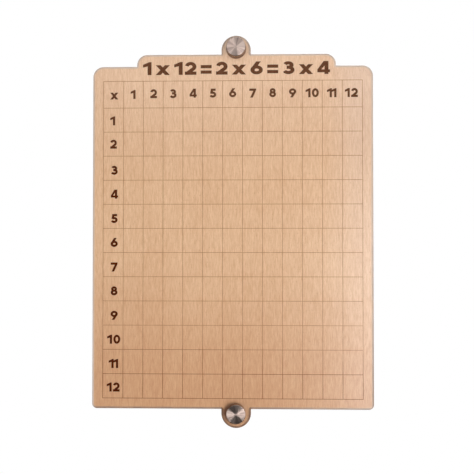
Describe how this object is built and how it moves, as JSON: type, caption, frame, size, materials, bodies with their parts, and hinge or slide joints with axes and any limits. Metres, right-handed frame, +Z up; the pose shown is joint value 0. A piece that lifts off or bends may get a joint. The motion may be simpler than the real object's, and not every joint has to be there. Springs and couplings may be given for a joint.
{
  "type": "wooden multiplication board",
  "caption": "Wall board of laser-cut plywood with a scored, empty times-table grid, engraved factors along its top and left side, and round steel standoffs in an upper and a lower tab.",
  "frame": {"origin": "on the wall plane, midway between the two wall screws that hold the barrels", "axes": "+Y into the wall, +Z up, +X to the right as seen from the front; the board's face looks along -Y"},
  "size_m": [0.2822, 0.041, 0.3943],
  "materials": {
    "plywood": "fine vertical beech grain under clear satin lacquer, with scored lines and numbers burnt to dark brown",
    "cap_steel": "turned stainless steel with fine rings on the cap's face",
    "barrel_steel": "turned stainless steel",
    "washer": "soft milky plastic"
  },
  "bodies": {
    "root": {"board": "plywood", "cap_top": "cap_steel", "cap_bottom": "cap_steel", "front_washer_top": "washer", "front_washer_bottom": "washer", "rear_washer_top": "washer", "rear_washer_bottom": "washer", "barrel_top": "barrel_steel", "barrel_bottom": "barrel_steel"}
  },
  "joints": []
}
